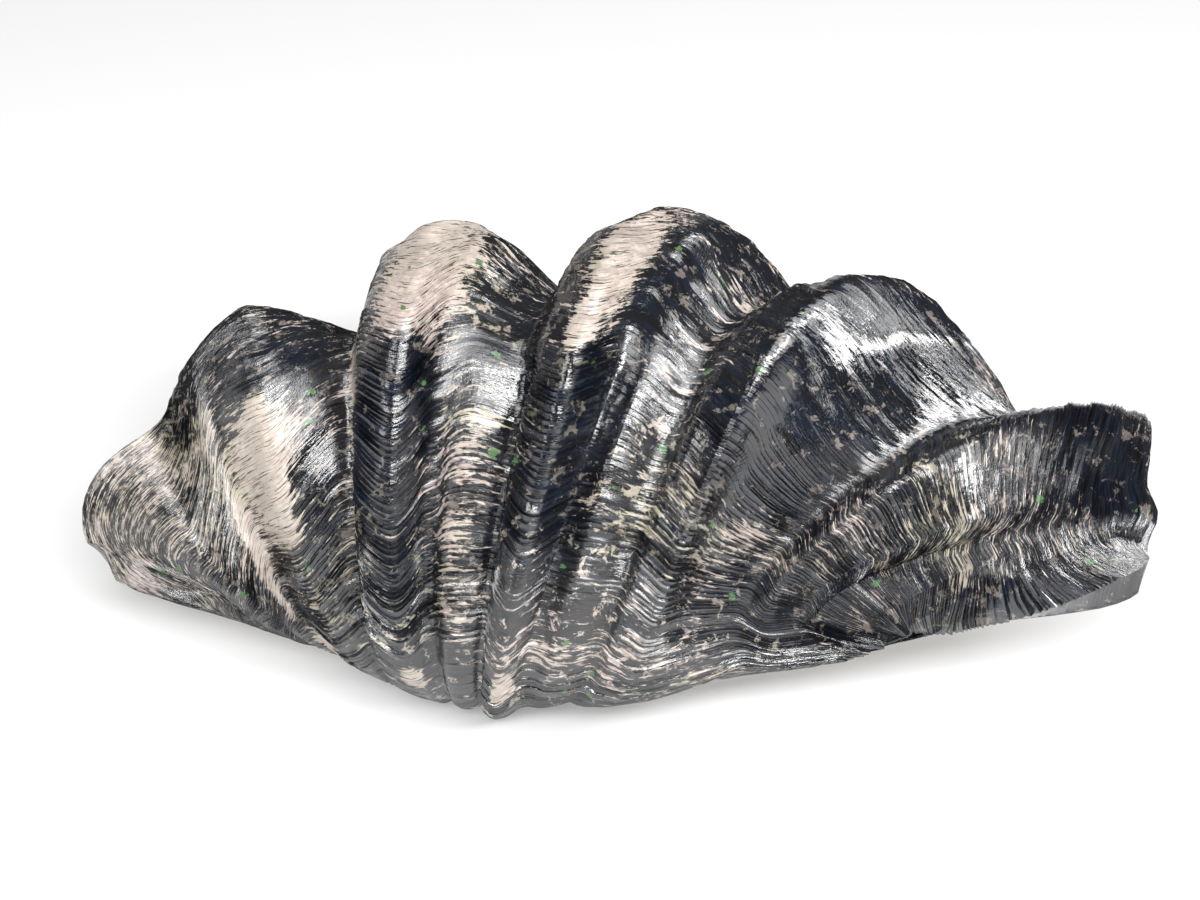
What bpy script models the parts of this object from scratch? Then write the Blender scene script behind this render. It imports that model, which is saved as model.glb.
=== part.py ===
"""One valve of a giant clam, lying with its hollow side down.

The valve is modelled the way it grows: every crest and groove starts at the beak and winds outwards
about one growth axis, getting larger by a fixed share for each degree that it turns. The folds table
says where each crest and groove lies, from the left end of the hinge, round the open rim, to the right.
Metres, +Z up, standing on z = 0, with +X along the valve and the hinge side towards -Y.
"""

import math

import bmesh
import bpy
import numpy as np

# Growth: turn in radians for each e-fold of size, the growth axis and the lean of the valve on its rest
GROWTH_TURN = 2.58
AXIS = (0.98, -0.19, 0.063)
LEAN = math.radians(-9.0)
SECTION_ANGLE = math.radians(20.0)

# The hinge lip lies under the beak at this turn, and the folds are set at three turns before it
HINGE_TURN = math.radians(300.0)
TOP_TURN = math.radians(42.0)
FRONT_TURN = math.radians(125.0)
LOW_TURN = math.radians(222.0)
SPREAD_STOPS = math.radians(30.0)
SPREAD_BLEND = math.radians(10.0)

# Wall thickness in metres
WALL_RIM = 0.014
WALL_CROWN = 0.020
WALL_HINGE = 0.016

# Where the wall thins towards the hinge edges, it takes at most this share of the way to the axis
THIN_EDGE = 0.6

# Growth ledges: height and spacing in metres of growth at the rim
LEDGE_HEIGHT = 0.0012

# How far the lowest crest of the beak is worn flat, in metres
REST_WEAR = 0.0015

# Mesh columns and rows of the outer and inner surface
OUTER_COLUMNS = 104
OUTER_ROWS = 32
INNER_COLUMNS = 60
INNER_ROWS = 18

SHELL_BLACK = (0.035, 0.036, 0.042)

# Each fold: along the axis and out from it in mm, carried to the section angle, at the top, the front
# and low down, and then the turn of the rim in degrees
FOLDS = (
    ("left edge", -342, 50, -342, 50, -236, 100, 112),
    ("rib 1", -326, 48, -328, 54, -222, 104, 100),
    ("rib 1 flank", -302, 76, -312, 80, -216, 107, 90),
    ("rib 1 shoulder", -272, 98, -290, 102, -210, 110, 82),
    ("groove 1", -219, 118, -256, 122, -200, 117, 72),
    ("riblet 1", -201, 123, -208, 112, -190, 125, 45),
    ("rib 2 keel", -190, 152, -176, 121, -178, 139, 22),
    ("rib 2", -154, 187, -143, 165, -132, 171, 20),
    ("rib 2 flank", -115, 179, -105, 180, -108, 180, 8),
    ("groove 2", -80, 170, -70, 185, -88, 188, -8),
    ("rib 3 shoulder", -63, 225, -52, 205, -55, 200, 4),
    ("rib 3", -28, 247, -20, 215, -23, 210, 14),
    ("riblet groove 3", 3, 236, 10, 193, 20, 216, 0),
    ("riblet 3", 28, 212, 50, 218, 50, 226, -5),
    ("groove 3", 49, 197, 85, 212, 82, 226, -9),
    ("rib 4 shoulder", 77, 240, 108, 232, 98, 238, 4),
    ("rib 4", 115, 258, 135, 245, 114, 244, 14),
    ("riblet groove 4", 148, 243, 157, 205, 150, 226, 0),
    ("riblet 4", 168, 220, 190, 228, 195, 220, -5),
    ("groove 4", 186, 195, 225, 205, 250, 212, -9),
    ("rib 5 shoulder", 218, 212, 258, 218, 290, 212, 2),
    ("rib 5", 249, 215, 286, 218, 325, 207, 14),
    ("rib 5 flank", 281, 183, 288, 174, 396, 180, 16),
    ("groove 5", 324, 125, 345, 118, 470, 162, -12),
    ("rib 6 shoulder", 380, 136, 382, 112, 520, 142, 20),
    ("rib 6", 416, 86, 402, 80, 570, 125, 42),
    ("rib 6 flank", 450, 62, 440, 62, 605, 112, 52),
    ("right edge", 466, 45, 466, 45, 640, 100, 60),
)

# The two edges beside the hinge, as turn in degrees, along and out in mm
LEFT_EDGE = (
    (112, -342, 50),
    (120, -357, 40),
    (132, -386, 24),
    (150, -424, 18),
    (172, -462, 27),
    (184, -444, 44),
    (195, -412, 58),
    (207, -380, 73),
    (214, -308, 87),
    (222, -236, 100),
    (250, -238, 100),
    (300, -240, 96),
)
RIGHT_EDGE = (
    (60, 466, 45),
    (88, 556, 50),
    (115, 628, 54),
    (135, 668, 50),
    (155, 702, 40),
    (180, 765, 41),
    (205, 800, 60),
    (216, 692, 98),
    (222, 640, 100),
    (250, 500, 112),
    (300, 450, 96),
)

# Towards the hinge the outer folds run between the edge and the nearest full rib, at these shares
LEFT_SHARES = (0.0, 0.15, 0.3, 0.45, 0.62, 0.8)
RIGHT_SHARES = (0.8, 0.6, 0.42, 0.25, 0.12, 0.0)
GATHER_START = math.radians(150.0)
GATHER_END = math.radians(208.0)


def unit(vector):
    return vector / np.linalg.norm(vector)


def growth_frame():
    """The growth axis and the two directions across it, leaned to the way that the valve rests."""
    axis = unit(np.array(AXIS))
    back = unit(np.array((0.0, 1.0, 0.0)) - axis[1] * axis)
    up = np.cross(axis, back)
    lean = np.array(
        (
            (1.0, 0.0, 0.0),
            (0.0, math.cos(LEAN), -math.sin(LEAN)),
            (0.0, math.sin(LEAN), math.cos(LEAN)),
        )
    )
    return lean @ axis, lean @ back, lean @ up


def growth_point(along, out, turn):
    """A point wound about the axis: both distances shrink by e for each GROWTH_TURN that it turns.

    Past the crown the valve stops spreading sideways, so along is held while out still grows.
    """
    axis, back, up = growth_frame()
    held = SPREAD_STOPS + SPREAD_BLEND * np.log1p(np.exp((turn - SPREAD_STOPS) / SPREAD_BLEND))
    length = along * np.exp(-(held - SECTION_ANGLE) / GROWTH_TURN)
    radius = out * np.exp(-(turn - SECTION_ANGLE) / GROWTH_TURN)
    across = np.cos(turn)[..., None] * back + np.sin(turn)[..., None] * up
    return length[..., None] * axis + radius[..., None] * across


def smooth_run(position, knots, values):
    """A curve through the values that never overshoots a crest or a groove."""
    spans = np.diff(knots)
    slopes = np.diff(values) / spans
    tangents = np.zeros(len(values))
    before = 2.0 * spans[1:] + spans[:-1]
    after = spans[1:] + 2.0 * spans[:-1]
    rising = slopes[:-1] * slopes[1:] > 0.0
    mean = before[rising] / slopes[:-1][rising] + after[rising] / slopes[1:][rising]
    tangents[1:-1][rising] = (before + after)[rising] / mean
    tangents[0] = slopes[0]
    tangents[-1] = slopes[-1]
    cell = np.clip(np.searchsorted(knots, position, side="right") - 1, 0, len(knots) - 2)
    span = spans[cell]
    t = (position - knots[cell]) / span
    start = (2.0 * t**3 - 3.0 * t**2 + 1.0) * values[cell] + (t**3 - 2.0 * t**2 + t) * tangents[cell] * span
    end = (3.0 * t**2 - 2.0 * t**3) * values[cell + 1] + (t**3 - t**2) * tangents[cell + 1] * span
    return start + end


def through_stations(top, front, low, turn):
    """A smooth run of a fold's value from the top station through the front one to the low one."""
    held = np.clip(turn, TOP_TURN, LOW_TURN)
    slope = (low - top) / (LOW_TURN - TOP_TURN)
    first = FRONT_TURN - TOP_TURN
    second = LOW_TURN - FRONT_TURN
    t = (held - TOP_TURN) / first
    upper = (2.0 * t**3 - 3.0 * t**2 + 1.0) * top + (3.0 * t**2 - 2.0 * t**3) * front
    upper = upper + (t**3 - t**2) * slope * first
    t = (held - FRONT_TURN) / second
    lower = (2.0 * t**3 - 3.0 * t**2 + 1.0) * front + (3.0 * t**2 - 2.0 * t**3) * low
    lower = lower + (t**3 - 2.0 * t**2 + t) * slope * second
    return np.where(held < FRONT_TURN, upper, lower)


def rim_knots():
    """The fold table as arrays in metres and radians, and the distance of each fold along the rim."""
    table = np.array([row[1:] for row in FOLDS], dtype=float)
    sections = table[:, :6] / 1000.0
    turns = np.radians(table[:, 6])
    steps = np.linalg.norm(np.diff(growth_point(sections[:, 0], sections[:, 1], turns), axis=0), axis=1)
    knots = np.concatenate(((0.0,), np.cumsum(np.clip(steps, 0.020, 0.060))))
    return sections, turns, knots


def fold_columns(count):
    """Every fold value at evenly spaced columns along the rim, and the rim's turn."""
    sections, turns, knots = rim_knots()
    position = np.linspace(0.0, knots[-1], count + 1)
    left = np.ones(len(FOLDS))
    left[: len(LEFT_SHARES)] = LEFT_SHARES
    right = np.ones(len(FOLDS))
    right[-len(RIGHT_SHARES) :] = RIGHT_SHARES
    columns = [smooth_run(position, knots, sections[:, index]) for index in range(6)]
    columns.append(np.interp(position, knots, left))
    columns.append(np.interp(position, knots, right))
    return columns, smooth_run(position, knots, turns)


def edge_run(edge, turn):
    """Along and out of a hinge edge at each turn."""
    table = np.array(edge, dtype=float)
    knots = np.radians(table[:, 0])
    held = np.clip(turn, knots[0], knots[-1])
    return smooth_run(held, knots, table[:, 1] / 1000.0), smooth_run(held, knots, table[:, 2] / 1000.0)


def gathered(along, out, share, edge, rib, turn):
    """Draws the outer folds in between a hinge edge and the nearest full rib."""
    edge_along, edge_out = edge_run(edge, turn)
    rib_along = through_stations(rib[0], rib[2], rib[4], turn)
    rib_out = through_stations(rib[1], rib[3], rib[5], turn)
    step = np.clip((turn - GATHER_START) / (GATHER_END - GATHER_START), 0.0, 1.0)
    step = step * step * (3.0 - 2.0 * step)
    weight = 1.0 - (1.0 - step) * np.clip(share / 0.15, 0.0, 1.0)
    weight = np.where(share < 1.0, weight, 0.0)
    along = along + weight * (edge_along + (rib_along - edge_along) * share - along)
    out = out + weight * (edge_out + (rib_out - edge_out) * share - out)
    return along, out


def section(columns, turn):
    """Along and out, carried to the section angle, at each column and turn."""
    folds = np.array([row[1:7] for row in FOLDS], dtype=float) / 1000.0
    along = through_stations(columns[0], columns[2], columns[4], turn)
    out = through_stations(columns[1], columns[3], columns[5], turn)
    left_rib = folds[len(LEFT_SHARES)]
    right_rib = folds[-len(RIGHT_SHARES) - 1]
    along, out = gathered(along, out, columns[6], LEFT_EDGE, left_rib, turn)
    return gathered(along, out, columns[7], RIGHT_EDGE, right_rib, turn)


def outer_point(columns, turn):
    return growth_point(*section(columns, turn), turn)


def lowest_beak():
    """How far the bottom of the beak lies below the growth centre."""
    columns, _ = fold_columns(OUTER_COLUMNS)
    turns = np.radians(np.linspace(230.0, 290.0, 61))[:, None]
    return outer_point(columns, turns + 0.0 * columns[0])[..., 2].min()


def rim_turns(columns, turns, ground):
    """The rim's turns, cut short where the rim would reach below the ground."""
    low = turns.copy()
    high = turns + math.radians(50.0)
    sunk = outer_point(columns, low)[:, 2] < ground
    for _ in range(40):
        middle = 0.5 * (low + high)
        below = outer_point(columns, middle)[:, 2] < ground
        low = np.where(below, middle, low)
        high = np.where(below, high, middle)
    return np.where(sunk, high, turns), sunk


def softened(values, width):
    """Gaussian smoothing along the columns, with the ends carried on in a straight line."""
    reach = 24
    before = 2.0 * values[:, :1] - values[:, reach:0:-1]
    after = 2.0 * values[:, -1:] - values[:, -2 : -reach - 2 : -1]
    padded = np.concatenate((before, values, after), axis=1)
    offsets = np.arange(-reach, reach + 1)
    result = np.zeros_like(values)
    for row in range(values.shape[0]):
        weights = np.exp(-0.5 * (offsets / width[row]) ** 2)
        weights /= weights.sum()
        result[row] = np.convolve(padded[row], weights, mode="valid")
    return result


def outer_sheet(ground):
    """The ribbed outside, rows from the rim to the hinge lip, with low growth ledges."""
    columns, turns = fold_columns(OUTER_COLUMNS)
    rim, sunk = rim_turns(columns, turns, ground)
    share = np.linspace(0.0, 1.0, OUTER_ROWS + 1)[:, None]
    turn = rim + (HINGE_TURN - rim) * share
    along, out = section(columns, turn)
    points = growth_point(along, out, turn)
    outward = growth_point(along, out * 1.02, turn) - points
    outward /= np.maximum(np.linalg.norm(outward, axis=-1, keepdims=True), 1e-9)
    ledge = LEDGE_HEIGHT * np.where(np.arange(OUTER_ROWS + 1) % 2 == 1, 1.0, -1.0)
    ledge[0] = 0.0
    ledge[-1] = 0.0
    size = np.exp(-(turn - SECTION_ANGLE) / GROWTH_TURN)
    points = points + outward * (ledge[:, None] * np.clip(size, 0.0, 1.0))[..., None]
    return points, sunk


def inner_sheet(ground):
    """The smooth inside: the folds fade towards the beak and the wall is taken off inwards."""
    columns, turns = fold_columns(INNER_COLUMNS)
    rim, sunk = rim_turns(columns, turns, ground)
    share = np.linspace(0.0, 1.0, INNER_ROWS + 1)[:, None]
    turn = rim + (HINGE_TURN - rim) * share
    along, out = section(columns, turn)
    width = 0.4 + 3.6 * np.clip(share[:, 0] * 2.5, 0.0, 1.0)
    along = softened(along, width)
    out = softened(out, width)
    slope_along = np.gradient(along, axis=1)
    slope_out = np.gradient(out, axis=1)
    length = np.maximum(np.hypot(slope_along, slope_out), 1e-6)
    wall = WALL_RIM + (WALL_CROWN - WALL_RIM) * np.sin(math.pi * np.clip(share, 0.0, 1.0))
    wall = wall + (WALL_HINGE - WALL_RIM) * share
    size = np.exp(-(turn - SECTION_ANGLE) / GROWTH_TURN)
    depth = np.minimum(wall / size, THIN_EDGE * out)
    along = along + slope_out / length * depth
    out = out - slope_along / length * depth
    return growth_point(along, out, turn), sunk


def sheet_mesh(mesh, points):
    """A grid moved onto the points, and its vertices as rows."""
    rows, columns = points.shape[:2]
    before = len(mesh.verts)
    bmesh.ops.create_grid(mesh, x_segments=columns - 1, y_segments=rows - 1, size=1.0)
    mesh.verts.ensure_lookup_table()
    vertices = list(mesh.verts)[before:]
    vertices.sort(key=lambda vertex: (round(vertex.co.y, 5), round(vertex.co.x, 5)))
    grid = [vertices[row * columns : (row + 1) * columns] for row in range(rows)]
    for row in range(rows):
        for column in range(columns):
            grid[row][column].co = points[row, column]
    return grid


def zip_edges(mesh, first, second):
    """Faces between two runs of vertices of unlike count, walked side by side."""
    i = 0
    j = 0
    while i < len(first) - 1 or j < len(second) - 1:
        share_first = (i + 1) / (len(first) - 1)
        share_second = (j + 1) / (len(second) - 1)
        if j == len(second) - 1 or (i < len(first) - 1 and share_first <= share_second):
            mesh.faces.new((first[i], first[i + 1], second[j]))
            i += 1
        else:
            mesh.faces.new((first[i], second[j + 1], second[j]))
            j += 1


def shell_material():
    material = bpy.data.materials.new("shell_black")
    material.use_nodes = True
    shader = material.node_tree.nodes["Principled BSDF"]
    shader.inputs["Base Color"].default_value = (*SHELL_BLACK, 1.0)
    shader.inputs["Roughness"].default_value = 0.25
    shader.inputs["Metallic"].default_value = 0.0
    return material


def build_valve():
    ground = lowest_beak() + REST_WEAR
    outer, outer_sunk = outer_sheet(ground)
    inner, inner_sunk = inner_sheet(ground)
    outer[0, outer_sunk, 2] = ground
    inner[0, inner_sunk, 2] = ground
    inner[1:, :, 2] = np.maximum(inner[1:, :, 2], ground + 0.004)
    outer[..., 2] = np.maximum(outer[..., 2], ground)
    low = outer.reshape(-1, 3).min(axis=0)
    high = outer.reshape(-1, 3).max(axis=0)
    centre = np.array((0.5 * (low[0] + high[0]), 0.5 * (low[1] + high[1]), ground))

    mesh = bmesh.new()
    outside = sheet_mesh(mesh, outer - centre)
    inside = sheet_mesh(mesh, inner - centre)
    zip_edges(mesh, outside[0], inside[0])
    zip_edges(mesh, inside[-1], outside[-1])
    zip_edges(mesh, [row[0] for row in inside], [row[0] for row in outside])
    zip_edges(mesh, [row[-1] for row in outside], [row[-1] for row in inside])
    bmesh.ops.triangulate(mesh, faces=mesh.faces[:])
    bmesh.ops.recalc_face_normals(mesh, faces=mesh.faces[:])

    data = bpy.data.meshes.new("valve")
    mesh.to_mesh(data)
    mesh.free()
    data.shade_smooth()
    data.materials.append(shell_material())
    return bpy.data.objects.new("valve", data)


def main():
    for item in list(bpy.data.objects):
        bpy.data.objects.remove(item, do_unlink=True)
    collection = bpy.data.collections.new("giant_clam_valve")
    bpy.context.scene.collection.children.link(collection)
    collection.objects.link(build_valve())


if __name__ == "__main__":
    main()
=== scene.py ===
"""One valve of a giant clam, lacquered black and worn, lying with its hollow side down.

Run as a script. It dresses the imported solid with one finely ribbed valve, on a pale floor in studio light.
"""

import math

import bpy
import numpy as np
from mathutils import Matrix


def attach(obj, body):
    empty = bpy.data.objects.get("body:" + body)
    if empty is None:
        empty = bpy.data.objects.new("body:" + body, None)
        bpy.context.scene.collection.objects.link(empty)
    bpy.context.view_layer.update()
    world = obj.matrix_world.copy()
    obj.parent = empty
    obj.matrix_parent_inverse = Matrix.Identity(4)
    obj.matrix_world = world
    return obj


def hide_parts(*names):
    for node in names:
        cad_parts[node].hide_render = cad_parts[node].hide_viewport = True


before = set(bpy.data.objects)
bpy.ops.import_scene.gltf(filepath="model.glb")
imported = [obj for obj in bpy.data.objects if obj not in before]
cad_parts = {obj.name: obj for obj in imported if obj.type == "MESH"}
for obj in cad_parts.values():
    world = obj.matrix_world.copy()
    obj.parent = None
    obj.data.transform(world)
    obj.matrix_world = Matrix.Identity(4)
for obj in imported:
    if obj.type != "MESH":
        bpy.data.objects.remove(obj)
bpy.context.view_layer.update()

bl_info = {
    "name": "Giant clam valve",
    "version": (1, 0, 0),
    "blender": (4, 5, 0),
    "location": "3D View > Sidebar > Clam",
    "description": "Builds a lacquered giant clam valve with growth ledges, and a plain studio",
    "category": "Add Mesh",
}

# Growth: turn in radians for each e-fold of size, the growth axis and the lean of the valve on its rest
GROWTH_TURN = 2.58
AXIS = (0.98, -0.19, 0.063)
LEAN = math.radians(-9.0)
SECTION_ANGLE = math.radians(20.0)

# The growth frame's origin is moved by this to stand the valve on the middle of its footprint
CENTRE = (0.083680, 0.085556, -0.041999)

HINGE_TURN = math.radians(300.0)
TOP_TURN = math.radians(42.0)
FRONT_TURN = math.radians(125.0)
LOW_TURN = math.radians(222.0)
SPREAD_STOPS = math.radians(30.0)
SPREAD_BLEND = math.radians(10.0)

# Wall thickness in metres, and the most of the way to the axis that it takes
WALL_RIM = 0.014
WALL_CROWN = 0.020
WALL_HINGE = 0.016
THIN_EDGE = 0.6

# Each fold: along and out in mm at the top, the front and low down, then degrees of its rim and phase
FOLDS = (
    ("left edge", -342, 50, -342, 50, -236, 100, 112, 110),
    ("rib 1", -326, 48, -328, 54, -222, 104, 100, 108),
    ("rib 1 flank", -302, 76, -312, 80, -216, 107, 90, 98),
    ("rib 1 shoulder", -272, 98, -290, 102, -210, 110, 82, 94),
    ("groove 1", -219, 118, -256, 122, -200, 117, 72, 90),
    ("riblet 1", -201, 123, -208, 112, -190, 125, 45, 62),
    ("rib 2 keel", -190, 152, -176, 121, -178, 139, 22, 44),
    ("rib 2", -154, 187, -143, 165, -132, 171, 20, 50),
    ("rib 2 flank", -115, 179, -105, 180, -108, 180, 8, 40),
    ("groove 2", -80, 170, -70, 185, -88, 188, -8, 28),
    ("rib 3 shoulder", -63, 225, -52, 205, -55, 200, 4, 40),
    ("rib 3", -28, 247, -20, 215, -23, 210, 14, 48),
    ("riblet groove 3", 3, 236, 10, 193, 20, 216, 0, 32),
    ("riblet 3", 28, 212, 50, 218, 50, 226, -5, 28),
    ("groove 3", 49, 197, 85, 212, 82, 226, -9, 28),
    ("rib 4 shoulder", 77, 240, 108, 232, 98, 238, 4, 40),
    ("rib 4", 115, 258, 135, 245, 114, 244, 14, 46),
    ("riblet groove 4", 148, 243, 157, 205, 150, 226, 0, 34),
    ("riblet 4", 168, 220, 190, 228, 195, 220, -5, 38),
    ("groove 4", 186, 195, 225, 205, 250, 212, -9, 38),
    ("rib 5 shoulder", 218, 212, 258, 218, 290, 212, 2, 44),
    ("rib 5", 249, 215, 286, 218, 325, 207, 14, 50),
    ("rib 5 flank", 281, 183, 288, 174, 396, 180, 16, 46),
    ("groove 5", 324, 125, 345, 118, 470, 162, -12, 46),
    ("rib 6 shoulder", 380, 136, 382, 112, 520, 142, 20, 60),
    ("rib 6", 416, 86, 402, 80, 570, 125, 42, 60),
    ("rib 6 flank", 450, 62, 440, 62, 605, 112, 52, 90),
    ("right edge", 466, 45, 466, 45, 640, 100, 60, 200),
)
FOLD_NUMBERS = np.arange(len(FOLDS), dtype=float)
KEEL_FOLD = 6.0
LAST_FOLD = float(len(FOLDS) - 1)

# The two edges beside the hinge, as turn in degrees, along and out in mm
LEFT_EDGE = (
    (112, -342, 50),
    (120, -357, 40),
    (132, -386, 24),
    (150, -424, 18),
    (172, -462, 27),
    (184, -444, 44),
    (195, -412, 58),
    (207, -380, 73),
    (214, -308, 87),
    (222, -236, 100),
    (250, -238, 100),
    (300, -240, 96),
)
RIGHT_EDGE = (
    (60, 466, 45),
    (88, 556, 50),
    (115, 628, 54),
    (135, 668, 50),
    (155, 702, 40),
    (180, 765, 41),
    (205, 800, 60),
    (216, 692, 98),
    (222, 640, 100),
    (250, 500, 112),
    (300, 450, 96),
)

# Near the hinge, each outer fold's share of the way from its edge to the nearest full rib
LEFT_SHARES = (0.0, 0.15, 0.3, 0.45, 0.62, 0.8)
RIGHT_SHARES = (0.8, 0.6, 0.42, 0.25, 0.12, 0.0)

# Folds with less than this share keep to the edge all the way, and the others gather between two turns
EDGE_SHARE = 0.15
GATHER_START = math.radians(150.0)
GATHER_END = math.radians(208.0)

# Growth stage runs from 0 at the rim to STAGE_END at the hinge lip, PHASE_GAP behind a fold's phase
PHASE_GAP = math.radians(33.0)
STAGE_END = math.radians(289.0)

# By the first stage a growth line has settled to the phases, and from the second it heads for the lip
SETTLE_STAGE = math.radians(75.0)
LATE_STAGE = math.radians(45.0)

# Length of growth from beak to rim, in metres
GROWTH_LENGTH = 0.62

# The least and most that one fold counts along the rim, in metres
FOLD_STEPS = (0.020, 0.060)

# The search for where the rim meets the floor: its samples, its reach and its halvings
RIM_SAMPLES = 2701
RIM_REACH = math.radians(50.0)
RIM_HALVINGS = 40

# Columns of the outer surface: round the left end, and from the keel of rib 2 to the right edge
LEFT_COLUMNS = 62
RIB_COLUMNS = 186
INNER_COLUMNS = 120
INNER_ROWS = 24
EDGE_ROWS = 3
MOST_TRIANGLES = 200000

# Random values: the first seed, the side of the noise's lattice, and its layers
SEED = 7
LATTICE = 256
NOISE_LAYERS = 3

# Growth lines: spread of steps, share of a step from foot to lip, spread of heights, and strong lines
LINE_STEPS = (0.6, 1.5)
FOOT_SHARE = 0.30
LINE_HEIGHTS = (0.35, 1.0)
STRONG_SHARE = 0.12
STRONG_EXTRA = 1.1

# The path of a line round the left end: its samples, and the bend and softness of its corner
PATH_SAMPLES = 241
CORNER_POWER = 0.9
CORNER_SOFTNESS = 0.35

# How growth lines stray and ledges change height: metres across, and lines or metres of growth
WOBBLE_ACROSS = 0.022
WOBBLE_LINES = 3.5
WOBBLE_HEIGHT = 1.5
LEDGE_ACROSS = 0.035
LEDGE_GROWTH = 0.016
LEDGE_MEAN = 0.75
LEDGE_SPREAD = 0.9
LEDGE_RANGE = (0.08, 1.6)

# Ledges: lower past this wear, by these losses, held to a share of the row gap, and a foot this deep
WORN_FROM = 0.3
WORN_LOSS = 0.85
DULL_LOSS = 0.75
GAP_SHARE = 0.75
FOOT_DEPTH = 0.6

# Dents, coarse and fine: depth, and size across and along the growth, in metres
DENT = (0.0026, 0.026, 0.024)
FINE_DENT = (0.0010, 0.011, 0.005)

# Relief fades over this many lines at the rim and the lip, and dents where rows are closer than this
END_LINES = 3.0
CLOSE_ROWS = 0.0012

# The inside: smoothing in columns at the rim and deep in, of SMOOTH_GRID, and the room below in metres
SMOOTH_RIM = 0.4
SMOOTH_DEEP = 4.0
SMOOTH_GRID = 60.0
SMOOTH_RATE = 2.5
SMOOTH_REACH = 40
INSIDE_CLEARANCE = 0.004

# Values on the rounded edges: how far they take the inside's look, their wear and their dullness
EDGE_INSIDE = 0.2
EDGE_WORN = -0.3
EDGE_DULL = 0.1

# Where the black is worn off or thick: fold number, turn in degrees, their half widths, and strength
WORN_PATCHES = (
    (11.1, 68.0, 0.60, 9.0, 1.3),
    (10.9, 79.0, 0.45, 6.0, 1.2),
    (11.2, 54.0, 0.90, 12.0, 0.7),
    (16.2, 70.0, 0.45, 14.0, 1.3),
    (15.9, 90.0, 0.35, 5.0, 1.1),
    (6.8, 100.0, 0.60, 12.0, 1.2),
    (6.9, 120.0, 0.55, 14.0, 0.9),
    (5.6, 124.0, 0.25, 16.0, 1.0),
    (5.3, 155.0, 0.25, 14.0, 0.9),
    (6.3, 184.0, 0.45, 12.0, 0.9),
    (9.2, 98.0, 0.16, 26.0, 1.0),
    (16.1, 184.0, 0.50, 8.0, 1.1),
    (11.2, 186.0, 0.50, 7.0, 1.0),
    (13.4, 103.0, 0.50, 2.0, 0.6),
    (17.7, 123.0, 0.40, 2.0, 0.5),
    (10.3, 104.0, 0.50, 10.0, -1.0),
    (11.2, 97.0, 0.80, 6.0, -0.7),
    (16.5, 100.0, 0.90, 6.0, -0.7),
    (17.2, 66.0, 0.60, 16.0, -0.5),
    (21.8, 68.0, 1.40, 22.0, -0.8),
    (21.5, 100.0, 1.20, 12.0, -0.7),
    (23.7, 77.0, 0.50, 8.0, -0.4),
    (25.3, 50.0, 1.50, 10.0, -0.5),
    (7.5, 78.0, 1.00, 8.0, -0.6),
    (3.5, 110.0, 3.50, 60.0, 0.36),
    (0.5, 150.0, 1.50, 60.0, 0.15),
    (12.0, 66.0, 0.70, 14.0, 0.20),
    (12.9, 80.0, 0.60, 12.0, -0.25),
    (24.8, 95.0, 1.60, 40.0, 0.16),
    (13.1, 135.0, 0.70, 25.0, 0.25),
    (19.0, 118.0, 1.10, 30.0, 0.20),
    (20.6, 98.0, 0.50, 26.0, 0.20),
    (22.6, 120.0, 0.80, 22.0, 0.14),
    (18.0, 168.0, 4.00, 10.0, 0.30),
)

# Where the lacquer is dull and grey, in the same terms
DULL_PATCHES = (
    (18.5, 168.0, 5.00, 22.0, 1.0),
    (11.5, 178.0, 3.00, 26.0, 0.9),
    (23.7, 77.0, 0.60, 12.0, 0.9),
    (16.0, 150.0, 1.00, 16.0, 0.7),
    (12.9, 74.0, 0.70, 16.0, 0.7),
    (18.6, 125.0, 0.90, 40.0, 0.8),
    (4.0, 90.0, 2.50, 50.0, 0.35),
)

# Grooves deepened and crests raised: fold, half width, mm outwards, and the range of turn in degrees
CREASES = (
    (4.3, 0.50, -6.0, 72.0, 400.0),
    (9.0, 0.30, -8.0, 72.0, 400.0),
    (10.8, 0.90, 3.0, 76.0, 400.0),
    (11.65, 0.35, 4.5, 72.0, 400.0),
    (12.3, 0.25, -6.0, 85.0, 400.0),
    (12.9, 0.80, -7.0, 38.0, 72.0),
    (13.2, 0.50, 3.0, 85.0, 400.0),
    (14.2, 0.30, -8.0, 76.0, 400.0),
    (16.1, 0.80, 3.0, 76.0, 400.0),
    (16.7, 0.35, 5.0, 76.0, 400.0),
    (17.6, 0.35, -5.0, 80.0, 400.0),
    (18.0, 0.70, -6.0, 45.0, 88.0),
    (19.2, 0.35, -7.0, 72.0, 400.0),
    (21.2, 0.60, 5.0, 60.0, 400.0),
    (22.0, 0.60, 8.0, 42.0, 400.0),
    (23.1, 0.40, -7.0, 60.0, 400.0),
    (25.1, 0.80, 6.0, 15.0, 400.0),
    (26.0, 0.60, 10.0, 15.0, 400.0),
)

# Creases start and end over this many degrees, and edges sharper than this angle are shaded sharp
CREASE_RUN = 28.0
LEDGE_ANGLE = math.radians(32.0)

# Streak noises on the growth map: cells per metre along a growth line, and across the lines
BROAD_STREAKS = (28.0, 150.0, 1.0)
STREAKS = (85.0, 430.0, 1.0)
HAIRS = (260.0, 1300.0, 1.0)
SLITS = (60.0, 1000.0, 1.0)
RADIAL_LINES = (650.0, 16.0, 1.0)
INSIDE_BANDS = (3.0, 70.0, 1.0)

# Noises on the object's own coordinates: cells per metre
MOSS_SCALE = 11.0
BLOTCH_SCALE = 16.0
FLECK_SCALE = 85.0
SPECKLE_SCALE = 110.0
GRAIN_SCALE = 260.0

SPECULAR_LEVEL = 0.8
LEAST_ROUGHNESS = 0.08
BUMP_STRENGTH = 0.45
BUMP_DISTANCE = 0.0008

# The camera and the floor
CAMERA_ELEVATION = math.radians(36.0)
CAMERA_TARGET = (-0.0077, 0.0813, 0.0156)
SENSOR_WIDTH = 36.0
FLOOR_HALF = 6.0
FLOOR_ROUGHNESS = 0.9

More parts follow.
